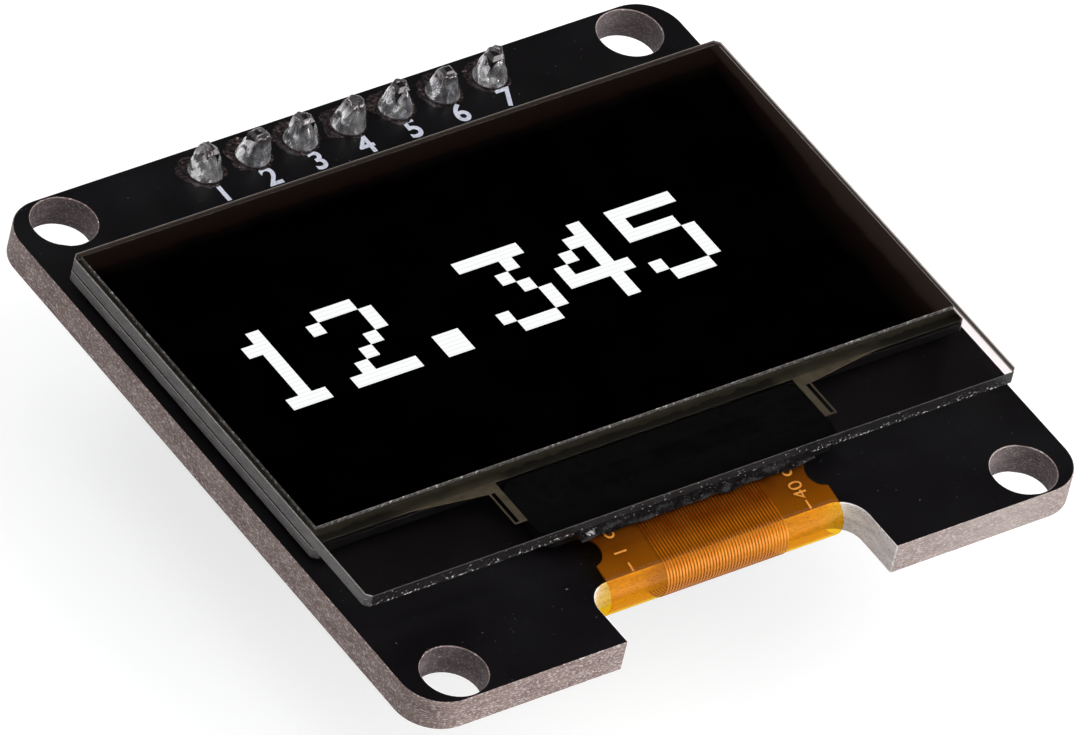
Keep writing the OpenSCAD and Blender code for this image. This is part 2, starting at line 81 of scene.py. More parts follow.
lens = bpy.data.cameras.new("long_lens")
lens.sensor_width = 36
lens.lens = 622.4
lens.clip_start, lens.clip_end = 0.05, 20
camera = bpy.data.objects.new("camera", lens)
bpy.context.collection.objects.link(camera)
away = Vector((-math.sin(TURN) * math.cos(LIFT), -math.cos(TURN) * math.cos(LIFT), math.sin(LIFT)))
facing = Matrix.Rotation(-TURN, 4, "Z") @ Matrix.Rotation(math.pi / 2 - LIFT, 4, "X")
camera.matrix_world = (
    Matrix.Translation(AIM + away * DISTANCE) @ facing @ Matrix.Rotation(ROLL, 4, "Z")
)
bpy.context.scene.camera = camera
print("camera at", [round(v / MM) for v in camera.matrix_world.translation], "mm")

# %% [markdown]
# ## Helpers for shapes
# An operator acts on everything that is selected, so one helper clears the
# selection first. Others edit a whole mesh, join pieces, apply modifiers, and
# move an object's place into its mesh. The last two say what a piece rides on,
# and copy a part of the solid model with its sharp edges broken. No real edge is
# perfectly sharp: the thin bright line along a broken edge is what makes glass,
# resin and plastic look solid.


# %% Selecting, editing and joining
def only(piece):
    """Select one object and nothing else."""
    for other in bpy.context.selected_objects:
        other.select_set(False)
    piece.select_set(True)
    bpy.context.view_layer.objects.active = piece


@contextmanager
def whole_mesh(piece):
    """Edit a mesh with all of it selected, then go back to object mode."""
    only(piece)
    bpy.ops.object.mode_set(mode="EDIT")
    bpy.ops.mesh.select_all(action="SELECT")
    yield
    bpy.ops.object.mode_set(mode="OBJECT")


def apply_modifiers(piece):
    only(piece)
    for modifier in list(piece.modifiers):
        bpy.ops.object.modifier_apply(modifier=modifier.name)


def settle(piece):
    """Put the object at the origin, with its place in its mesh."""
    only(piece)
    bpy.ops.object.transform_apply(location=True, rotation=True, scale=True)


def joined(pieces, name):
    """Join pieces into one."""
    only(pieces[0])
    for piece in pieces:
        piece.select_set(True)
    bpy.ops.object.join()
    whole = bpy.context.object
    whole.name = name
    return whole


print("shape helpers are ready")


# %% Pieces that ride on the body
def own(piece, slot, *nodes):
    """Make a piece ride on the body, and stand for the solids that are named."""
    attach(piece, "root")
    if nodes:
        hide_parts(*nodes)
    print(piece.name, "has", len(piece.data.polygons), "faces")


def dress(node, name, slot, edge=0.02, steps=2, smooth=35, flatten=True):
    """Copy a solid's mesh, break its edges and let the copy stand for the solid."""
    piece = bpy.data.objects.new(name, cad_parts[node].data.copy())
    bpy.context.collection.objects.link(piece)
    piece.data.materials.clear()
    with whole_mesh(piece):
        bpy.ops.mesh.remove_doubles(threshold=1e-6)
        if flatten:
            bpy.ops.mesh.dissolve_limited(angle_limit=math.radians(0.5))
    if edge:
        rounded = piece.modifiers.new("edge", "BEVEL")
        rounded.width, rounded.segments = edge * MM, steps
        rounded.limit_method, rounded.angle_limit = "ANGLE", math.radians(40)
        rounded.use_clamp_overlap = False
        apply_modifiers(piece)
    only(piece)
    bpy.ops.object.shade_smooth_by_angle(angle=math.radians(smooth))
    if edge:
        # keep the large faces flat, so that only the broken edges turn the light
        weighted = piece.modifiers.new("flat_faces", "WEIGHTED_NORMAL")
        weighted.keep_sharp = True
        apply_modifiers(piece)
    own(piece, slot, node)
    return piece


print("solids that can be dressed:", len(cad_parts))

# %% [markdown]
# ## Helpers for materials
# Colours are written as they look on a screen, and Blender works in linear
# light, so one function converts them. One function adds any kind of node. The
# others start a material, join its colour, its gloss and its relief, and let a
# second kind of surface take part of the light. Most moulded, plated and fired
# parts share one finish, so it has a function too: two close colours mixed by
# noise of a real size in millimetres, with gloss and relief from the same noise.


# %% Colours and nodes
def colour(code):
    """A screen colour in linear light."""
    parts = [int(code[i : i + 2], 16) / 255 for i in (1, 3, 5)]
    return [c / 12.92 if c <= 0.04045 else ((c + 0.055) / 1.055) ** 2.4 for c in parts] + [1.0]


def add(tree, kind, inputs=(), stops=(), **settings):
    """Add a node with its settings, a ramp's stops, and its inputs in order or by name.

    An input is a plain value, a socket, or a node, whose first output is then meant.
    """
    made = tree.nodes.new("ShaderNode" + kind)
    for key, value in settings.items():
        setattr(made, key, value)
    for key, value in inputs.items() if isinstance(inputs, dict) else enumerate(inputs):
        if isinstance(value, bpy.types.Node):
            value = value.outputs[0]
        if isinstance(value, bpy.types.NodeSocket):
            tree.links.new(value, made.inputs[key])
        else:
            made.inputs[key].default_value = value
    if stops:
        band = made.color_ramp.elements
        while len(band) < len(stops):
            band.new(0.5)
        for element, (place, code) in zip(band, stops):
            element.position = place
            element.color = colour(code)
    return made


print("mid grey in linear light:", round(colour("#808080")[0], 3))


# %% Finishes
def start(name, **plain):
    """A new material, with its plain values on the shader itself."""
    material = bpy.data.materials.new(name)
    material.use_nodes = True
    shader = material.node_tree.nodes["Principled BSDF"]
    for key, value in plain.items():
        shader.inputs[key.replace("_", " ")].default_value = value
    return material, material.node_tree


def surface(tree, shade, gloss=None, relief=None, depth=0.0, strength=1.0):
    """Join a colour, a roughness, and a relief of some depth to the shader."""
    shader = tree.nodes["Principled BSDF"]
    tree.links.new(shade.outputs[0], shader.inputs["Base Color"])
    if gloss is not None:
        tree.links.new(gloss.outputs[0], shader.inputs["Roughness"])
    if relief is not None:
        bump = add(tree, "Bump", {"Height": relief, "Strength": strength, "Distance": depth})
        tree.links.new(bump.outputs[0], shader.inputs["Normal"])


def lend(tree, share, other):
    """Let another kind of surface take a share of the light."""
    both = add(tree, "MixShader", (share, tree.nodes["Principled BSDF"], other))
    tree.links.new(both.outputs[0], tree.nodes["Material Output"].inputs["Surface"])


def shade_of(material):
    """The node that gives a finish its colour."""
    return material.node_tree.nodes["Principled BSDF"].inputs["Base Color"].links[0].from_node


def grained(name, dark, light, size, rough=(0.4, 0.55), height=0.004, stretch=(1, 1, 1), **plain):
    """Two close colours, gloss and relief, all from one noise. Sizes are in millimetres."""
    material, tree = start(name, **plain)
    place = add(tree, "TexCoord").outputs["Object"]
    place = add(tree, "Mapping", {"Vector": place, "Scale": stretch})
    grain = add(tree, "TexNoise", {"Vector": place, "Scale": 1 / (size * MM), "Detail": 4.0})
    shade = add(tree, "ValToRGB", (grain,), [(0.3, dark), (0.7, light)])
    surface(tree, shade, add(tree, "MapRange", (grain, 0.3, 0.7, *rough)), grain, height * MM)
    return material


def darkened_upward(material, low, high, code, most):
    """Mix another colour in, from nothing at one height to its most at another."""
    tree = material.node_tree
    place = add(tree, "TexCoord").outputs["Object"]
    height = add(tree, "SeparateXYZ", (place,)).outputs["Z"]
    amount = add(tree, "MapRange", (height, low, high, 0.0, most))
    surface(tree, add(tree, "MixRGB", (amount, shade_of(material), colour(code))))


def give(piece, *materials):
    """Give a piece its materials, and nothing else."""
    piece.data.materials.clear()
    for material in materials:
        piece.data.materials.append(material)


def give_node(node, material):
    """A better material for a solid that keeps its own shape."""
    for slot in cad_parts[node].material_slots:
        slot.material = material


print("finish helpers are ready")

# %% [markdown]
# ## The circuit board
# The board is glass-fibre laminate, coated on both faces with black solder mask.
# The solid has the right outline, holes and notch, so a copy with broken edges
# is enough. The mask is a thin cured lacquer: nearly black, half glossy, with a
# faint orange-peel surface and a few specks of dust.

# %% Board and solder mask
board = dress("board", "circuit_board", "solder_mask", 0.04, 1, smooth=15, flatten=False)

mask, tree = start("black_solder_mask", Specular_IOR_Level=0.16)
place = add(tree, "TexCoord").outputs["Object"]
# soft clouds a few millimetres wide keep the large faces from looking painted
clouds = add(tree, "TexNoise", {"Vector": place, "Scale": 1 / (4.0 * MM), "Detail": 3.0})
black = add(tree, "ValToRGB", (clouds,), [(0.35, "#070507"), (0.7, "#0c0a0d")])
# real dust is finer than this, and is drawn as coarse as it needs to show
dust = add(tree, "TexNoise", {"Vector": place, "Scale": 1 / (0.14 * MM), "Detail": 1.0})
specks = add(tree, "MapRange", (dust, 0.77, 0.82, 0.0, 0.35))
black = add(tree, "MixRGB", (specks, black, colour("#8d8a90")))
peel = add(tree, "TexNoise", {"Vector": place, "Scale": 1 / (0.3 * MM), "Detail": 2.0})
surface(tree, black, add(tree, "MapRange", (clouds, 0.3, 0.7, 0.36, 0.48)), peel, 0.002 * MM)

# %% [markdown]
# The cut edges show the bare laminate, pinkish grey, with pale and dark glass
# fibres in thin layers. The router's outer cut keeps the plain tone, the milled
# notch is painted near white as painted light, and the drilled holes are painted
# dark as painted shade inside them. So one function makes three finishes, and the
# place and the direction of each face decide which one it gets.


# %% Cut edges of the board
def laminate(name, deep, middle, pale, fibres=0.85, pale_end=0.45):
    """Cut laminate: cloth in flat layers, frayed ends of fibre that catch the light, and painted light
    towards the right.
    """
    material, tree = start(name, Specular_IOR_Level=0.35)
    place = add(tree, "TexCoord").outputs["Object"]
    layers = add(tree, "Mapping", {"Vector": place, "Scale": (1.0, 1.0, 3.5)})
    weave = add(tree, "TexNoise", {"Vector": layers, "Scale": 1 / (1.4 * MM), "Detail": 5.0})
    bare = add(tree, "ValToRGB", (weave,), [(0.3, deep), (0.5, middle), (0.7, pale)])
    # one fibre is 0.01 mm thick and would never show, so bundles of them are drawn
    fibre = add(tree, "TexNoise", {"Vector": layers, "Scale": 1 / (0.14 * MM), "Detail": 3.0})
    for first, full, code in ((0.56, 0.66, "#e4dad6"), (0.42, 0.34, "#5d4f4c")):
        amount = add(tree, "MapRange", (fibre, first, full, 0.0, fibres))
        bare = add(tree, "MixRGB", (amount, bare, colour(code)))
    # painted light: the cut is painted paler towards the right, where the lamps light it more, up to the
    # rounded corner
    across = add(tree, "SeparateXYZ", (place,)).outputs["X"]
    rising = add(tree, "MapRange", (across, 2 * MM, 13 * MM, 0.0, pale_end))
    falling = add(tree, "MapRange", (across, 14.5 * MM, 16.5 * MM, 1.0, 0.3))
    painted_light_right = add(tree, "Math", (rising, falling), operation="MULTIPLY")
    bare = add(tree, "MixRGB", (painted_light_right, bare, colour("#c9bdb8")))
    surface(tree, bare, add(tree, "MapRange", (fibre, 0.3, 0.7, 0.75, 0.45)), fibre, 0.03 * MM, 0.8)
    return material


give(
    board,
    mask,
    laminate("routed_laminate", "#7a6662", "#8d7974", "#9d8a84"),
    # painted light: the notch walls are painted near white, for the light that reaches them
    laminate("milled_laminate_painted_light", "#cdc4c2", "#e9e4e2", "#fdfbfa", 0.7, 0.0),
    # painted shade: the walls of the holes are painted dark, for the shade inside them
    laminate("drilled_laminate_painted_shade", "#43363a", "#594b4e", "#6f6063", 0.3, 0.12),
)
MASKED, ROUTED, MILLED_LIT, DRILLED_SHADED = range(4)
# in millimetres: the middle of a hole, a little over its radius, and the notch
HOLE_X, HOLE_Y, HOLE_REACH = 15.15, 15.1, 1.6
NOTCH_HALF, NOTCH_END = 7.6, -13.2
for face in board.data.polygons:
    x, y = abs(face.center.x) / MM, face.center.y / MM
    if abs(face.normal.z) > 0.95:
        face.material_index = MASKED
    elif abs(face.normal.z) < 0.3 and math.hypot(x - HOLE_X, abs(y) - HOLE_Y) < HOLE_REACH:
        face.material_index = DRILLED_SHADED
    else:
        face.material_index = MILLED_LIT if x < NOTCH_HALF and y < NOTCH_END else ROUTED
print("cut faces:", sum(face.material_index != MASKED for face in board.data.polygons))

# %% [markdown]
# ## The glass plates
# The display is two plates of thin glass. Their faces are polished, and their
# edges are left as the cutting wheel left them. So each plate gets one material
# for its faces and others for its edges. Clear glass lets the lamps through in
# the shadows too, or what lies behind it would stay black.

# %% Plates and polished glass
front_glass = dress("front_glass", "front_plate", "plate_glass", edge=0.04, steps=2)
rear_glass = dress("rear_glass", "rear_plate", "plate_glass", edge=0.03, steps=1)
glass_foot, glass_head = (corner.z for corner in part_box("front_glass"))

clear_glass, tree = start(
    "polished_plate_glass", Base_Color=colour("#f6eeee"), Roughness=0.0, IOR=1.5,
    Transmission_Weight=1.0,
)
lamp_ray = add(tree, "LightPath").outputs["Is Shadow Ray"]
lend(tree, lamp_ray, add(tree, "BsdfTransparent", (colour("#eef2f0"),)))
print("front plate is", round((glass_head - glass_foot) / MM, 2), "mm thick")

# %% [markdown]
# The left edges were ground: grey, with long marks of the wheel and tiny chips
# that catch the light. A little light also comes through them from behind, which
# a translucent surface gives.

# %% Ground edge
ground_glass, tree = start("ground_glass_edge", Specular_IOR_Level=0.5)
place = add(tree, "TexCoord").outputs["Object"]
long_marks = add(tree, "Mapping", {"Vector": place, "Scale": (1.0, 1.0, 4.0)})
wheel = add(tree, "TexNoise", {"Vector": long_marks, "Scale": 1 / (0.8 * MM), "Detail": 4.0})
ground = add(tree, "ValToRGB", (wheel,), [(0.3, "#433f3f"), (0.6, "#656060")])
# painted shade: beside the ledge nothing lies behind the plate to light the edge through it, so the edge
# is painted darker there
along = add(tree, "SeparateXYZ", (place,)).outputs["Y"]
shade_beside_ledge = add(tree, "MapRange", (along, -6.5 * MM, -8.0 * MM, 0.0, 0.4))
ground = add(tree, "MixRGB", (shade_beside_ledge, ground, colour("#333032")))
chips = add(tree, "TexNoise", {"Vector": place, "Scale": 1 / (0.1 * MM), "Detail": 2.0})
bright = add(tree, "MapRange", (chips, 0.64, 0.72, 0.0, 0.8))
ground = add(tree, "MixRGB", (bright, ground, colour("#c9c6c4")))
surface(tree, ground, add(tree, "MapRange", (chips, 0.4, 0.7, 0.5, 0.2)), chips, 0.03 * MM)
lend(tree, 0.12, add(tree, "BsdfTranslucent", (colour("#8a8583"),)))
print("nodes in the ground edge:", len(tree.nodes))

# %% [markdown]
# The lower border of the front plate was snapped along a scratch. It is dark,
# with a row of bright chips along its foot, where the scratch was.

# %% Snapped edge
snapped_glass, tree = start("snapped_glass_edge", Specular_IOR_Level=0.4)
place = add(tree, "TexCoord").outputs["Object"]
height = add(tree, "SeparateXYZ", (place,)).outputs["Z"]
near_foot = add(tree, "MapRange", (height, glass_foot, glass_foot + 0.35 * MM, 0.14, 0.0))
pits = add(tree, "TexNoise", {"Vector": place, "Scale": 1 / (0.13 * MM), "Detail": 3.0})
chips = add(tree, "Math", (pits, near_foot))
depths = add(tree, "TexNoise", {"Vector": place, "Scale": 1 / (0.7 * MM), "Detail": 3.0})
snapped = add(tree, "ValToRGB", (depths,), [(0.3, "#0f0d0f"), (0.7, "#1b181a")])
bright = add(tree, "MapRange", (chips, 0.66, 0.74, 0.0, 0.85))
snapped = add(tree, "MixRGB", (bright, snapped, colour("#d6d4d4")))
surface(tree, snapped, add(tree, "MapRange", (chips, 0.4, 0.7, 0.3, 0.5)), chips, 0.03 * MM)
print("nodes in the snapped edge:", len(tree.nodes))

# %% [markdown]
# The right and upper edges are seen through the glass, from inside. Their colour
# is a painted reflection of the brown seal in bands: pale at the foot and towards
# the head, and dark between. Half of their light comes through from outside. Along
# every broken edge runs a fine chipped line, the arris, a little paler than the
# rest: partly chipped glass and partly a painted highlight.

# %% Edges with a painted reflection, and arris
glass_edge_reflection, tree = start("glass_edge_painted_reflection", Roughness=0.5)
place = add(tree, "TexCoord").outputs["Object"]
height = add(tree, "SeparateXYZ", (place,)).outputs["Z"]
climb = add(tree, "MapRange", (height, glass_foot, glass_head, 0.0, 1.0))
painted_bands = add(tree, "ValToRGB", (climb,), [
    (0.0, "#b0a7a0"), (0.25, "#3a332f"), (0.5, "#2b2522"), (0.75, "#c4bbb4"), (1.0, "#e6e0da"),
])
# painted shade: the upper edge has the dark board beyond it, so its painted bands are fainter
normal = add(tree, "NewGeometry").outputs["True Normal"]
faces_upper = add(tree, "Math", (add(tree, "SeparateXYZ", (normal,)).outputs["Y"],), operation="ABSOLUTE")
fainter = add(tree, "MapRange", (faces_upper, 0.5, 0.9, 0.0, 0.8))
painted_bands = add(tree, "MixRGB", (fainter, painted_bands, colour("#4c423c")))
surface(tree, painted_bands)
lend(tree, 0.5, add(tree, "BsdfTranslucent", (painted_bands,)))
# painted highlight: the arris is paler partly from chipped glass and partly as a painted highlight along
# the edge
arris = grained("chipped_arris_highlight", "#6f6a67", "#a39d99", 0.12, (0.3, 0.5), 0.02)
print("nodes in the sealed edge:", len(tree.nodes))

# %% [markdown]
# Each face of a plate now gets its material by the way it points. On the rear
# plate the lower border takes the black potting in place of snapped glass, which
# makes it dark.

# %% Faces of the glass
# potting is a filled resin: black, nearly matt, with the faint grain of its filler
cover = grained("black_potting", "#060506", "#0b0a0b", 0.3, (0.35, 0.55), 0.006, Specular_IOR_Level=0.2)
POLISHED, GROUND, SNAPPED, REFLECTING, BROKEN = range(5)
for plate in (front_glass, rear_glass):
    give(plate, clear_glass, ground_glass, snapped_glass, glass_edge_reflection, arris)
    for face in plate.data.polygons:
        if abs(face.normal.z) > 0.95:
            face.material_index = POLISHED
        elif face.normal.y < -0.3 and abs(face.normal.x) < 0.3:
            face.material_index = SNAPPED
        elif abs(face.normal.z) > 0.25:
            face.material_index = BROKEN
        else:
            face.material_index = REFLECTING if face.normal.x + face.normal.y > 0 else GROUND
rear_glass.data.materials[SNAPPED] = cover
print("edge faces:", sum(face.material_index != POLISHED for face in front_glass.data.polygons))

# %% [markdown]
# ## The screen
# The polariser is a plastic film glued over the lit area. It turns the screen
# deep black, because light that goes in can't come back out. Near the right and
# top edges the seal between the plates shows through it as a brownish border.
# The seal was laid by hand, so the border wavers, and the right one narrows
# towards its upper end. Distances from the film's edges drive two colour ramps.

# %% Screen film
screen = dress("polariser", "screen_film", "polariser_film", edge=0.03, steps=1)
low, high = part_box("polariser")
SCREEN_TOP = high.z

film, tree = start("polariser_film", Specular_IOR_Level=0.08)
place = add(tree, "TexCoord").outputs["Object"]
axes = add(tree, "SeparateXYZ", (place,))
wander = add(tree, "TexNoise", {"Vector": place, "Scale": 1 / (1.2 * MM), "Detail": 2.0})
waver = add(tree, "MapRange", (wander, 0.0, 1.0, 0.85, 1.15))
narrowing = add(tree, "MapRange", (axes.outputs["Y"], 1.0 * MM, 11.0 * MM, 0.95, 2.2))
from_right = add(tree, "Math", (high.x, axes.outputs["X"]), operation="SUBTRACT")
from_right = add(tree, "Math", (from_right, narrowing), operation="MULTIPLY")
from_right = add(tree, "Math", (from_right, waver), operation="MULTIPLY")
from_top = add(tree, "Math", (high.y, axes.outputs["Y"]), operation="SUBTRACT")
from_top = add(tree, "Math", (from_top, waver), operation="MULTIPLY")
right_band = add(tree, "ValToRGB", (add(tree, "MapRange", (from_right, 0.0, 3.0 * MM, 0.0, 1.0)),), [
    (0.0, "#231c19"), (0.28, "#1b1512"), (0.36, "#0b0605"), (0.8, "#000000"),
])
top_band = add(tree, "ValToRGB", (add(tree, "MapRange", (from_top, 0.0, 2.0 * MM, 0.0, 1.0)),), [
    (0.0, "#130d0a"), (0.42, "#0d0705"), (0.55, "#040202"), (0.8, "#000000"),
])
border = add(tree, "MixRGB", (1.0, right_band, top_band), blend_type="LIGHTEN")
# a faint haze, from fingers and the protective foil, keeps the black from being empty
haze = add(tree, "TexNoise", {"Vector": place, "Scale": 1 / (3.0 * MM), "Detail": 2.0})
body = add(tree, "MixRGB", (add(tree, "MapRange", (haze, 0.4, 0.8, 0.0, 0.1)), border, colour("#0b0706")))
surface(tree, body, add(tree, "MapRange", (haze, 0.3, 0.7, 0.06, 0.12)))
print("lit area is", [round((high[i] - low[i]) / MM, 1) for i in (0, 1)], "mm")

# %% [markdown]
# The film was cut with a blade. Its raw edge is frayed and pale against the
# black, and it draws a fine ragged line round the screen.

# %% Cut edge of the film
cut_film, tree = start("cut_film_edge", Specular_IOR_Level=0.3, Roughness=0.5)
place = add(tree, "TexCoord").outputs["Object"]
frays = add(tree, "TexNoise", {"Vector": place, "Scale": 1 / (0.16 * MM), "Detail": 4.0})
raw = add(tree, "ValToRGB", (frays,), [
    (0.3, "#191716"), (0.52, "#4d4946"), (0.62, "#6b6764"), (0.7, "#d0cdc9"),
])
surface(tree, raw, relief=frays, depth=0.02 * MM)
give(screen, film, cut_film)
for face in screen.data.polygons:
    face.material_index = 0 if abs(face.normal.z) > 0.9 else 1
print("cut faces:", sum(face.material_index for face in screen.data.polygons))

# %% [markdown]
# ## The lit characters
# Such a screen draws plain characters five blocks wide and seven high, and each
# block is three by three of its dots. A reading of six characters is drawn here
# from rows of signs, one square for each lit block. The squares of a character
# are joined, and pushed down a little to give them a thickness.

# %% Lit characters
BLOCK = 0.69 * MM
ADVANCE = 4.08 * MM
TEXT_LEFT, TEXT_TOP = -14.47 * MM, 4.52 * MM
SIGNS = {
    "1": "..#.. .##.. ..#.. ..#.. ..#.. ..#.. .###.",
    "2": ".###. #...# ....# ...#. ..#.. .#... #####",
    ".": "..... ..... ..... ..... ..... .##.. .##..",
    "3": "##### ...#. ..#.. ...#. ....# #...# .###.",
    "4": "...#. ..##. .#.#. #..#. ##### ...#. ...#.",
    "5": "##### #.... ####. ....# ....# #...# .###.",
}
blocks = []
for cell, sign in enumerate("12.345"):
    for row, line in enumerate(SIGNS[sign].split()):
        for column, mark in enumerate(line):
            if mark == "#":
                bpy.ops.mesh.primitive_plane_add(size=BLOCK, location=(
                    TEXT_LEFT + cell * ADVANCE + (column + 0.5) * BLOCK,
                    TEXT_TOP - (row + 0.5) * BLOCK, SCREEN_TOP + 0.004 * MM))
                blocks.append(bpy.context.object)
print("lit blocks:", len(blocks))
lit = joined(blocks, "lit_characters")
settle(lit)
with whole_mesh(lit):
    bpy.ops.mesh.remove_doubles(threshold=1e-6)
    bpy.ops.mesh.extrude_region_move(TRANSFORM_OT_translate={"value": (0, 0, -0.003 * MM)})
    bpy.ops.mesh.select_all(action="SELECT")
    bpy.ops.mesh.normals_make_consistent(inside=False)
own(lit, "emitter_layers")

# %% [markdown]
# Lit dots are light sources, so the material emits, at the strength of white
# paper. The dark gaps between the rows of dots are left as faint stripes.

# %% Glow
DOT_ROW = 0.23 * MM
glow, tree = start("glowing_dots", Base_Color=colour("#101010"), Roughness=0.4, Emission_Strength=1.0)
place = add(tree, "TexCoord").outputs["Object"]
# at a scale of 1 this texture repeats about every 0.318 m
rows = add(tree, "TexWave", {
    "Vector": place, "Scale": 0.318 / DOT_ROW, "Distortion": 0.0,
}, bands_direction="Y").outputs["Fac"]
light = add(tree, "ValToRGB", (rows,), [(0.0, "#eff2f1"), (0.5, "#fdfefe")])
tree.links.new(light.outputs[0], tree.nodes["Principled BSDF"].inputs["Emission Color"])
give(lit, glow)
print("rows of dots in a character:", round(7 * BLOCK / DOT_ROW))

# %% [markdown]
# ## What shows through the ledge
# Below the screen, the front plate runs on as a bare ledge. Through it show the
# grey metal film with its two test marks, the brown seal and the black cover
# over the driver chip. These keep their solid shapes, and get their finishes.
# Potting has crept over the seal, except beside the two test marks, so the dark
# smear is a product of two masks: one across the ledge and one along it.

# %% Seal and metal film
SMEAR_Y, SMEAR_FULL_Y = -6.68 * MM, -6.8 * MM
# a film of metal on glass is even and smooth; its olive-brown colour is a painted reflection of the brown
# round it
thin_metal = grained("thin_metal_on_glass", "#786c5a", "#968772", 0.5, (0.35, 0.5), 0.002)
# cured seal is a brown resin filled with glass beads, which make it cloudy
seal = grained("cured_seal", "#5d5546", "#756b58", 0.8, (0.4, 0.6), 0.004)

tree = seal.node_tree
place = add(tree, "TexCoord").outputs["Object"]
axes = add(tree, "SeparateXYZ", (place,))
aside = add(tree, "Math", (axes.outputs["X"],), operation="ABSOLUTE")
past_chip = add(tree, "MapRange", (aside, 7.0 * MM, 7.6 * MM, 0.0, 1.0))
before_end = add(tree, "MapRange", (aside, 11.5 * MM, 13.5 * MM, 1.0, 0.0))
window = add(tree, "Math", (past_chip, before_end), operation="MULTIPLY")
ragged = add(tree, "TexNoise", {"Vector": place, "Scale": 1 / (0.7 * MM), "Detail": 3.0})
waver = add(tree, "MapRange", (ragged, 0.3, 0.7, -0.12 * MM, 0.12 * MM))
along = add(tree, "Math", (axes.outputs["Y"], waver))
smeared = add(tree, "MapRange", (along, SMEAR_Y, SMEAR_FULL_Y, 0.0, 0.85))
crept = add(tree, "Math", (
    smeared, add(tree, "MapRange", (window, 0.0, 1.0, 1.0, 0.0)),
), operation="MULTIPLY")
surface(tree, add(tree, "MixRGB", (crept, shade_of(seal), colour("#120e0b"))))
give_node("metal_film", thin_metal)
give_node("seal_bead", seal)
give_node("chip_cover", cover)

# %% [markdown]
# The layers inside the display hardly show. They still get the finish of the
# real ones, since the model may be opened up or seen from a grazing side.

# %% Hidden layers
for node, material in {
    # a black adhesive, cured smooth
    "bond_film": grained(
        "bond_adhesive", "#050405", "#090808", 0.1, (0.4, 0.6), 0.004, Specular_IOR_Level=0.2),
    # bare silicon, bonded face down: its sawn back is dark and nearly polished
    "driver_chip": grained(
        "bonded_silicon", "#050405", "#090809", 1.0, (0.3, 0.4), 0.001, Specular_IOR_Level=0.2),
    # organic layers under a metal mirror: blue-black and glossy
    "emitter_film": grained("emitter_layers", "#050507", "#0a0a0d", 2.0, (0.1, 0.2), 0.001),
    # a pressed powder sheet: off-white, matt and grainy
    "getter_sheet": grained("moisture_absorber", "#bfbfb8", "#d6d6cf", 0.4, (0.7, 0.9), 0.01),
    # closed-cell foam, whose cells make the cut sides matt and rough
    "mounting_tape": grained("foam_tape", "#0b0b0c", "#151516", 0.15, (0.8, 0.95), 0.03),
}.items():
    give_node(node, material)
    print(node, "is", material.name)

# %% [markdown]
# ## The flat cable
# The cable is amber polyimide film with fine copper tracks on its outer side.
# Both materials carry painted light in a ramp from the glass to the fold: painted
# shade makes them dark and reddish near the glass, and painted light makes them
# golden on the bend. The film is mostly clear: it tints what lies behind it, and
# adds a little gloss of its own.

# %% Cable film
SLOPE = 2.8 * MM
cable = dress("cable_film", "cable_film_amber", "amber_film", edge=0.0, smooth=25)
tracks = dress("cable_tracks", "cable_tracks_copper", "copper_tracks", edge=0.0, smooth=25)
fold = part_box("cable_film")[0].y

amber, tree = start("polyimide_film", Specular_IOR_Level=0.5)
place = add(tree, "TexCoord").outputs["Object"]
down = add(tree, "SeparateXYZ", (place,)).outputs["Y"]
to_fold = add(tree, "MapRange", (down, fold + SLOPE, fold, 0.0, 1.0))
# painted light: painted shade near the glass and painted light on the bend, as a ramp towards the fold
film_tone_and_painted_light = add(tree, "ValToRGB", (to_fold,), [
    (0.0, "#6a3204"), (0.3, "#9a5406"), (0.6, "#c07008"), (1.0, "#c87c10"),
])
drift = add(tree, "TexNoise", {"Vector": place, "Scale": 1 / (1.5 * MM), "Detail": 3.0})
paler = add(tree, "MapRange", (drift, 0.3, 0.7, 0.0, 0.3))
film_tone_and_painted_light = add(tree, "MixRGB", (paler, film_tone_and_painted_light, colour("#d08414")))
surface(tree, film_tone_and_painted_light, add(tree, "MapRange", (drift, 0.3, 0.7, 0.12, 0.2)))
lend(tree, 0.86, add(tree, "BsdfTransparent", (colour("#fde55c"),)))
give(cable, amber)
print("fold at y", round(fold / MM, 2), "mm")

# %% [markdown]
# Copper under lacquer is a satin metal with a thin coat. It is worn in places,
# where it turns a paler gold.

# %% Copper tracks
copper, tree = start(
    "lacquered_copper", Metallic=1.0, Roughness=0.48, Coat_Weight=0.12, Coat_Roughness=0.15)
place = add(tree, "TexCoord").outputs["Object"]
down = add(tree, "SeparateXYZ", (place,)).outputs["Y"]
to_fold = add(tree, "MapRange", (down, fold + SLOPE, fold, 0.0, 1.0))
# painted light: darker near the glass as painted shade, with a painted highlight and painted shade along
# the bend
copper_tint_and_painted_light = add(tree, "ValToRGB", (to_fold,), [
    (0.0, "#782c02"), (0.3, "#8c3803"), (0.55, "#c66c08"), (0.68, "#b06006"), (0.85, "#ac5e10"),
    (1.0, "#c07630"),
])
wear = add(tree, "TexNoise", {"Vector": place, "Scale": 1 / (0.5 * MM), "Detail": 3.0})
worn = add(tree, "MapRange", (wear, 0.3, 0.7, 0.0, 0.2))
surface(tree, add(tree, "MixRGB", (worn, copper_tint_and_painted_light, colour("#d8902c"))))
give(tracks, copper)
print("nodes in the copper:", len(tree.nodes))

# %% [markdown]
# The real cable carries a printed code on each bare border. Here the borders
# name the first and the last track, with a bar and a ring beside them. The flat
# marks hang above the cable, and a shrinkwrap modifier drops them onto its curve.
# They are cut fine first, so that they can bend with it.

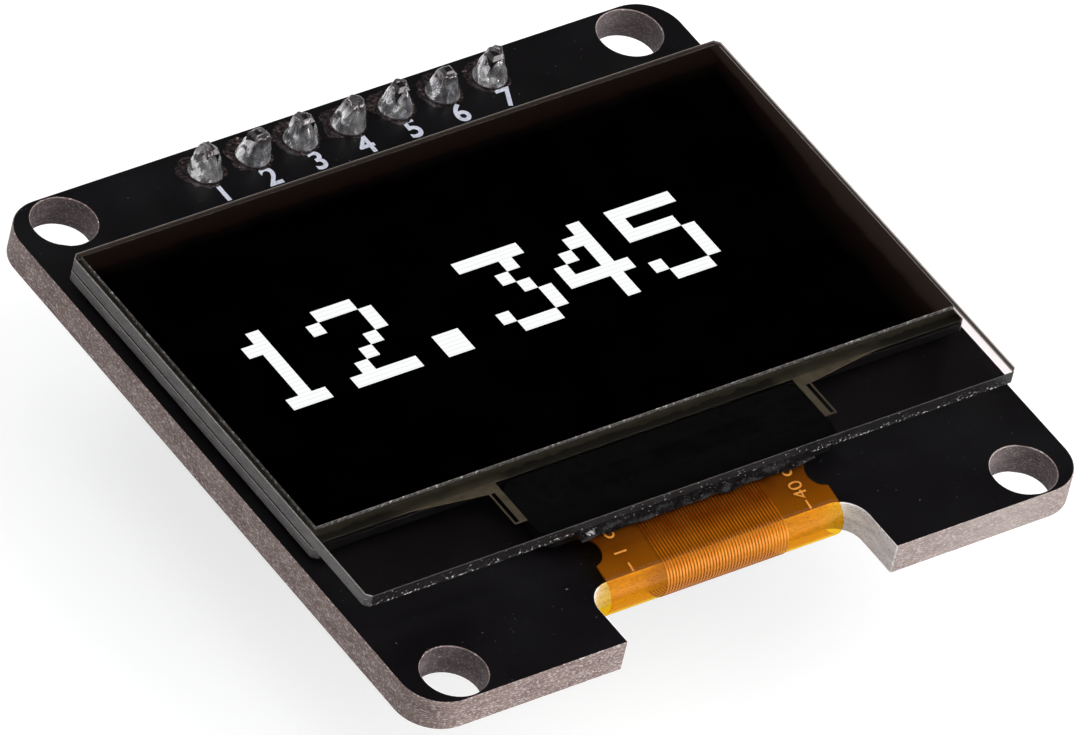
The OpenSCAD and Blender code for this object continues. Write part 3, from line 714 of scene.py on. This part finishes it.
# %% Marks on the cable
HANG = 3 * MM
TRACKS_HALF = 3.3 * MM
low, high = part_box("cable_film")
border_x = (high.x + TRACKS_HALF) / 2
marks = []
for side, label in ((-1, "1"), (1, "40")):
    x = side * border_x
    bpy.ops.object.text_add(location=(x, low.y + 1.75 * MM, HANG), rotation=(0, 0, math.pi / 2))
    letters = bpy.context.object
    letters.data.body = label
    letters.data.size = 0.95 * MM
    letters.data.align_x, letters.data.align_y = "CENTER", "CENTER"
    only(letters)
    bpy.ops.object.convert(target="MESH")
    marks.append(bpy.context.object)
    bpy.ops.mesh.primitive_plane_add(size=1, location=(x, low.y + 0.95 * MM, HANG))
    bar = bpy.context.object
    bar.scale = (0.1 * MM, 0.45 * MM, 1)
    marks.append(bar)
    bpy.ops.mesh.primitive_circle_add(
        vertices=32, radius=0.26 * MM, location=(x, low.y + 2.75 * MM, HANG), fill_type="NGON")
    ring = bpy.context.object
    with whole_mesh(ring):
        bpy.ops.mesh.inset(thickness=0.1 * MM)
        bpy.ops.mesh.delete(type="FACE")
    marks.append(ring)
cable_marks = joined(marks, "cable_marks")
settle(cable_marks)
with whole_mesh(cable_marks):
    bpy.ops.mesh.quads_convert_to_tris()
    bpy.ops.mesh.subdivide(number_cuts=3)
drop = cable_marks.modifiers.new("drop", "SHRINKWRAP")
drop.target, drop.wrap_method = cable, "PROJECT"
drop.use_project_z, drop.use_negative_direction, drop.use_positive_direction = True, True, False
drop.wrap_mode, drop.offset = "ABOVE_SURFACE", 0.012 * MM
apply_modifiers(cable_marks)
own(cable_marks, "amber_film")
# etched copper with no lacquer over it: brighter than the tracks, and satin
give(cable_marks, grained("bright_copper_print", "#b87014", "#d89030", 0.2, (0.4, 0.5), 0.0))
heights = [vertex.co.z / MM for vertex in cable_marks.data.vertices]
print("marks sit between z", round(min(heights), 2), "and", round(max(heights), 2), "mm")

# %% [markdown]
# ## Solder joints on the front
# Each pin is soldered by hand: the metal climbs the pin in a lumpy cone, and no
# two are alike. One cone is modelled as a stack of rings, narrowed towards the
# top. It would be a plain bell by itself, so each copy is pushed about in the
# next step.

# %% One solder cone
PINS = 7
PIN_PITCH = 2.54 * MM
low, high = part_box("header_joints")
land_z = BOARD_TOP + 0.035 * MM
row_y = (low.y + high.y) / 2
foot_r = (high.y - low.y) / 2
# height in millimetres, and share of the foot's radius
RINGS = [
    (-0.035, 0.96), (0.02, 0.94), (0.1, 0.89), (0.3, 0.81), (0.55, 0.73), (0.8, 0.64), (1.08, 0.54),
    (1.36, 0.42),
]


def pin_x(pin):
    return (pin - (PINS - 1) / 2) * PIN_PITCH


bpy.ops.mesh.primitive_circle_add(
    vertices=40, radius=foot_r * RINGS[0][1], location=(0, 0, RINGS[0][0] * MM), fill_type="NGON")
cone = bpy.context.object
with whole_mesh(cone):
    for (z0, r0), (z1, r1) in zip(RINGS, RINGS[1:]):
        bpy.ops.mesh.extrude_region_move(TRANSFORM_OT_translate={"value": (0, 0, (z1 - z0) * MM)})
        bpy.ops.transform.resize(value=(r1 / r0, r1 / r0, 1), center_override=(0, 0, z1 * MM))
    bpy.ops.mesh.inset(thickness=0.12 * MM)
    bpy.ops.mesh.select_all(action="SELECT")
    bpy.ops.mesh.normals_make_consistent(inside=False)
smoother = cone.modifiers.new("smooth", "SUBSURF")
smoother.levels = smoother.render_levels = 2
apply_modifiers(cone)
bpy.ops.object.shade_smooth()
print("one cone has", len(cone.data.polygons), "faces, foot radius", round(foot_r / MM, 2), "mm")

# %% [markdown]
# Three things make a cone look hand-made. Flutes run up its side, where the iron
# was drawn away. Lumps lie anywhere. And each cone leans its own way. All come
# from smooth noise, shifted for each pin, and all fade out towards the foot,
# which wets the land in a plain circle.

# %% Seven solder cones
cones = []
for pin in range(PINS):
    lump = cone.copy()
    lump.data = cone.data.copy()
    bpy.context.collection.objects.link(lump)
    lump.name = "solder_cone_%d" % (pin + 1)
    middle = Vector((pin_x(pin), row_y, land_z))
    lean = Vector((math.sin(pin * 2.3), math.cos(pin * 3.1), 0)) * 0.07
    for vertex in lump.data.vertices:
        p = vertex.co / MM
        out = Vector((p.x, p.y, 0))
        climb = min(max(p.z, 0) / 0.5, 1)
        flute = Vector((out.normalized().x, out.normalized().y, p.z * 0.35)) * 1.7
        swell = noise.noise(flute + Vector((pin * 7.3, 1.7, 0))) * 0.3
        bulge = noise.noise(p * 2.6 + Vector((0, pin * 5.1, 3))) * 0.1
        p += out * (swell + bulge) * climb
        p += lean * max(p.z, 0) ** 1.5
        p.z += noise.noise(p * 1.1 + Vector((pin * 3.7, 9, 2))) * 0.2 * climb
        vertex.co = p * MM + middle
    own(lump, "solder", "header_joints")
    cones.append(lump)
bpy.data.objects.remove(cone)

# solder cools with a grainy skin that is part mirror, part grey, and its colour is mixed darker towards
# its tip
solder = grained(
    "hand_soldered_tin", "#8a858d", "#ffffff", 0.34, (0.05, 0.3), 0.06, (1, 1, 0.6), Metallic=0.8)
darkened_upward(solder, land_z + 0.85 * MM, land_z + 1.25 * MM, "#5a5252", 0.8)
for lump in cones:
    give(lump, solder)

# %% [markdown]
# Burnt flux is left round every joint: a dark, glassy stain with a ragged edge
# and pale crumbs in it. It is thinner than a hair, so flat discs lie just above
# the board, and noise moves their rims in and out.

# %% Flux stains
stains = []
for pin in range(PINS):
    bpy.ops.mesh.primitive_circle_add(
        vertices=72, radius=1.25 * foot_r, location=(0, 0, 0), fill_type="TRIFAN")
    disc = bpy.context.object
    for vertex in disc.data.vertices:
        p = vertex.co / MM
        ragged = noise.noise(p * 1.2 + Vector((pin * 4.1, 3, 0))) * 0.3
        ragged += noise.noise(p * 5 + Vector((pin, 0, 8))) * 0.1
        vertex.co = p * (1 + ragged) * MM
        vertex.co.z = 0
    disc.location = (pin_x(pin) - 0.1 * MM, row_y + 0.15 * MM, BOARD_TOP + 0.006 * MM)
    settle(disc)
    stains.append(disc)
flux = joined(stains, "flux_stains")
own(flux, "solder_mask")

burnt, tree = start("burnt_flux", Specular_IOR_Level=0.5)
place = add(tree, "TexCoord").outputs["Object"]
crumbs = add(tree, "TexNoise", {"Vector": place, "Scale": 1 / (0.14 * MM), "Detail": 4.0})
crust = add(tree, "ValToRGB", (crumbs,), [
    (0.35, "#120c0e"), (0.55, "#241a1b"), (0.66, "#4a3735"), (0.74, "#a08c88"),
])
surface(tree, crust, add(tree, "MapRange", (crumbs, 0.3, 0.7, 0.15, 0.45)), crumbs, 0.04 * MM)
give(flux, burnt)

# %% [markdown]
# ## Printed pin numbers
# The board is marked beside its pins by white screen printing. Here each pin
# has its plain number. Text is turned into a mesh, measured, and scaled to the
# height of real board printing. The ink is chalky and lies proud of the mask.

# %% Pin numbers
PRINT_HEIGHT = 1.15 * MM
PRINT_LOW = 13.26 * MM
printed = []
for pin in range(PINS):
    bpy.ops.object.text_add(location=(0, 0, 0))
    number = bpy.context.object
    number.data.body = str(pin + 1)
    number.data.align_x = "CENTER"
    number.data.offset = 0.02
    number.data.resolution_u = 6
    only(number)
    bpy.ops.object.convert(target="MESH")
    number = bpy.context.object
    ys = [vertex.co.y for vertex in number.data.vertices]
    factor = PRINT_HEIGHT / (max(ys) - min(ys))
    number.scale = (factor, factor, factor)
    number.location = (pin_x(pin), PRINT_LOW - min(ys) * factor, BOARD_TOP + 0.004 * MM)
    settle(number)
    printed.append(number)
numbers = joined(printed, "pin_numbers")
own(numbers, "solder_mask")
give(numbers, grained("white_screen_print", "#b9bccb", "#dcdfec", 0.12, (0.5, 0.7), 0.006))

# %% [markdown]
# ## Resin along the glass edge
# A bead of resin guards the place where the cable leaves the glass. It was
# squeezed out by hand, so it is uneven. A flat grid is laid along the edge, and
# code drops it from the glass down to the cable. Across the bead, v runs from 0
# at its outer rim to 1 at the glass.

# %% Resin bead
low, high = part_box("edge_resin")
bpy.ops.mesh.primitive_grid_add(x_subdivisions=240, y_subdivisions=14, size=1, location=(0, 0, 0))
bead = bpy.context.object
bead.name = "resin_bead"
for vertex in bead.data.vertices:
    u, v = vertex.co.x + 0.5, vertex.co.y + 0.5
    x = low.x - 0.1 * MM + u * (high.x - low.x + 0.2 * MM)
    reach = (0.5 + 0.12 * noise.noise(Vector((x / MM * 0.9, 0, 4)))) * MM
    y = high.y - (1 - v) * reach
    fall = (1 - v) ** 1.6
    z = high.z - 0.1 * MM - fall * (high.z - low.z - 0.28 * MM)
    bulge = noise.noise(Vector((x / MM * 1.6, y / MM * 2.5, 1))) * 0.06
    bulge += noise.noise(Vector((x / MM * 6.0, y / MM * 6.0, 7))) * 0.012
    vertex.co = (x, y, z + bulge * MM)
thick = bead.modifiers.new("body", "SOLIDIFY")
thick.thickness, thick.offset = 0.08 * MM, -1
apply_modifiers(bead)
bpy.ops.object.shade_smooth_by_angle(angle=math.radians(50))
own(bead, "clear_resin", "edge_resin")

# %% [markdown]
# The resin is dark and glossy, with small painted glints on its lumps. A pale
# patch near the left end is noise, raised near one point.

# %% Resin finish
resin, tree = start("dark_cured_resin", Specular_IOR_Level=0.18)
place = add(tree, "TexCoord").outputs["Object"]
depths = add(tree, "TexNoise", {"Vector": place, "Scale": 1 / (0.5 * MM), "Detail": 3.0})
body = add(tree, "ValToRGB", (depths,), [(0.3, "#080607"), (0.7, "#151112")])
# painted glints: pale specks mixed into the colour
glints = add(tree, "TexNoise", {"Vector": place, "Scale": 1 / (0.11 * MM), "Detail": 2.0})
bright = add(tree, "MapRange", (glints, 0.66, 0.74, 0.0, 0.7))
body = add(tree, "MixRGB", (bright, body, colour("#8f8a8c")))
# a pale patch near the left end, from noise raised near one point
patch_centre = Vector((low.x + 0.55 * MM, high.y - 0.25 * MM, high.z - 0.25 * MM))
away_from_patch = add(tree, "VectorMath", (place, patch_centre), operation="DISTANCE").outputs["Value"]
raised = add(tree, "MapRange", (away_from_patch, 0.0, 0.5 * MM, 0.35, -0.2))
patch_grain = add(tree, "TexNoise", {"Vector": place, "Scale": 1 / (0.2 * MM), "Detail": 3.0})
pale_patch = add(tree, "MapRange", (add(tree, "Math", (patch_grain, raised)), 0.6, 0.75, 0.0, 0.85))
body = add(tree, "MixRGB", (pale_patch, body, colour("#c4bfc0")))
surface(tree, body, add(tree, "MapRange", (glints, 0.3, 0.7, 0.18, 0.4)), glints, 0.01 * MM, 0.6)
give(bead, resin)
print("froth at x", round(patch_centre.x / MM, 2), "mm")

# %% [markdown]
# ## Behind the board
# The back carries the header, the cable's solder joints and the small parts.
# They keep their solid shapes, and each gets the finish of the real thing:
# moulded plastic, gold flash, tin, fired ceramic.

# %% Finishes behind the board
# gold flash is thin and soft: satin, and a little uneven
gold = grained("gold_flash", "#c39a4a", "#dcb868", 0.4, (0.22, 0.32), 0.002, Metallic=1.0)
# plated tin is matt and finely grained
tin = grained("matt_tin_plate", "#a8a9ab", "#c9cacc", 0.15, (0.3, 0.45), 0.006, Metallic=1.0)
# pins are drawn, so their grain is stretched along them, and their upper tips are mixed darker
drawn_tin = grained(
    "drawn_tin_plate", "#a3a4a6", "#c6c7c9", 0.12, (0.22, 0.4), 0.002, (1, 1, 0.06), Metallic=1.0)
darkened_upward(drawn_tin, land_z, land_z + 0.6 * MM, "#4a4242", 0.85)
finishes = {
    "header_sleeves": burnt,
    "header_pins": drawn_tin,
    "cable_lands": gold,
    "part_lands": gold,
    # nylon comes from the mould with a fine sparked texture
    "header_body": grained("moulded_nylon", "#0d0d0e", "#161617", 0.08, (0.45, 0.6), 0.008),
    "cable_joints": solder,
    "part_joints": solder,
    # fired ceramic is brown, close-grained and slightly waxy
    "capacitor_bodies": grained("fired_ceramic", "#7d5f43", "#957353", 0.2, (0.4, 0.5), 0.004),
    "capacitor_ends": tin,
    # alumina is white and matt, and the glaze over it is black and glossy
    "resistor_bodies": grained("white_alumina", "#dcdad3", "#efede8", 0.1, (0.5, 0.6), 0.004),
    "resistor_coats": grained("black_glaze", "#0f0f10", "#1a1a1b", 0.3, (0.15, 0.25), 0.003),
    "resistor_ends": tin,
    # moulded epoxy is dark grey and matt, from the silica in it
    "regulator_body": grained("moulded_epoxy", "#141415", "#1f1f20", 0.06, (0.5, 0.65), 0.006),
    "regulator_leads": tin,
    "diode_body": grained("moulded_epoxy_diode", "#141415", "#1f1f20", 0.06, (0.5, 0.65), 0.006),
    "diode_leads": tin,
}
for node, material in finishes.items():
    give_node(node, material)
print("finished nodes:", len(finishes))

# %% [markdown]
# The moulded and fired bodies are larger, so their edges show. A dressed copy
# with broken edges stands for each.

# %% Bodies behind the board
for node, name, slot, edge in (
    ("header_body", "header_strip", "header_plastic", 0.05),
    ("regulator_body", "regulator_case", "moulding_compound", 0.04),
    ("diode_body", "diode_case", "moulding_compound", 0.04),
    ("capacitor_bodies", "capacitor_blocks", "capacitor_ceramic", 0.03),
):
    give(dress(node, name, slot, edge), finishes[node])

# %% [markdown]
# ## Floor
# A plain white floor lies under the tips of the pins. Its paper is a light grey,
# so that it can hold the object's shadow, and it glows just enough to look white
# to the camera, and in gloss and glass. That glow lights nothing else.

# %% Floor
bpy.ops.mesh.primitive_plane_add(size=4.0, location=(0, 0, solid_low.z - 0.05 * MM))
floor = bpy.context.object
floor.name = "studio_floor"
paper, tree = start(
    "white_paper_sweep", Base_Color=colour("#b4b4b4"), Roughness=0.9, Specular_IOR_Level=0.1,
    Emission_Color=(1, 1, 1, 1),
)
path = add(tree, "LightPath").outputs
seen = add(tree, "Math", (path["Is Camera Ray"], path["Is Glossy Ray"]), operation="MAXIMUM")
seen = add(tree, "Math", (seen, path["Is Transmission Ray"]), operation="MAXIMUM")
lift = add(tree, "Math", (seen, 0.68), operation="MULTIPLY")
tree.links.new(lift.outputs[0], tree.nodes["Principled BSDF"].inputs["Emission Strength"])
give(floor, paper)
print("floor at z", round(floor.location.z / MM, 2), "mm")

# %% [markdown]
# ## Sky
# The sky is a studio room, and each kind of ray sees its own part of it. Straight
# rays see plain white. Matt surfaces get a soft light that is stronger from the
# right. Mirrors see pale walls and a dark ceiling, so that black glass stays
# black and metal shows both, and at the back a black flag hides the bright top of
# the wall.

# %% Sky
world = bpy.data.worlds.new("studio")
bpy.context.scene.world = world
world.use_nodes = True
tree = world.node_tree
tree.nodes.clear()
direction = add(tree, "TexCoord").outputs["Generated"]
axes = add(tree, "SeparateXYZ", (direction,)).outputs
climb = add(tree, "MapRange", (axes["Z"], -1.0, 1.0, 0.0, 1.0))
walls = add(tree, "ValToRGB", (climb,), [
    (0.0, "#ffffff"), (0.60, "#f4f4f4"), (0.72, "#8c8c8c"), (1.0, "#6e6e6e"),
])
flagged = add(tree, "ValToRGB", (climb,), [
    (0.0, "#ffffff"), (0.60, "#f4f4f4"), (0.70, "#3a3a3a"), (0.78, "#0c0c0c"), (1.0, "#0c0c0c"),
])
behind = add(tree, "VectorMath", (direction, (0.7, 0.7, 0.0)), operation="DOT_PRODUCT").outputs["Value"]
room = add(tree, "MixRGB", (add(tree, "MapRange", (behind, 0.05, 0.35, 0.0, 1.0)), walls, flagged))
from_right = add(tree, "MapRange", (axes["X"], -1.0, 1.0, 0.34, 0.7))
ambient = add(tree, "Background", ((0.97, 0.98, 1.0, 1), from_right))
mirrored = add(tree, "Background", (room, 1.0))
white = add(tree, "Background", ((1, 1, 1, 1), 1.0))

path = add(tree, "LightPath").outputs
bounced = add(tree, "Math", (path["Diffuse Depth"], path["Glossy Depth"]))
straight = add(tree, "Math", (bounced, 0.5), operation="LESS_THAN")
shiny = add(tree, "Math", (path["Glossy Depth"], 0.5), operation="GREATER_THAN")
lit_by = add(tree, "MixShader", (shiny, ambient, mirrored))
add(tree, "OutputWorld", (add(tree, "MixShader", (straight, lit_by, white)),))
print("nodes in the sky:", len(tree.nodes))

# %% [markdown]
# ## Lamps
# Three soft boxes are aimed at the middle of the object. The right one is the
# strongest and lights the cut edges, the front one opens up the notch, and the
# top one, from behind, lights the far edges.


# %% Lamps
def softbox(name, place, size, power):
    box = bpy.data.lights.new(name, "AREA")
    box.shape, box.size, box.energy = "SQUARE", size, power
    holder = bpy.data.objects.new(name, box)
    bpy.context.collection.objects.link(holder)
    holder.location = place
    holder.rotation_euler = (-Vector(place)).to_track_quat("-Z", "Y").to_euler()
    print(name, "is", round(Vector(place).length, 2), "m away, at", power, "W")


softbox("right_softbox", (0.35, -0.31, 0.41), 0.6, 2.6)
softbox("front_softbox", (0.2, -0.58, 0.15), 0.4, 1.6)
softbox("top_softbox", (-0.25, 0.3, 0.75), 0.4, 1.6)
bpy.context.scene.view_settings.view_transform = "Standard"
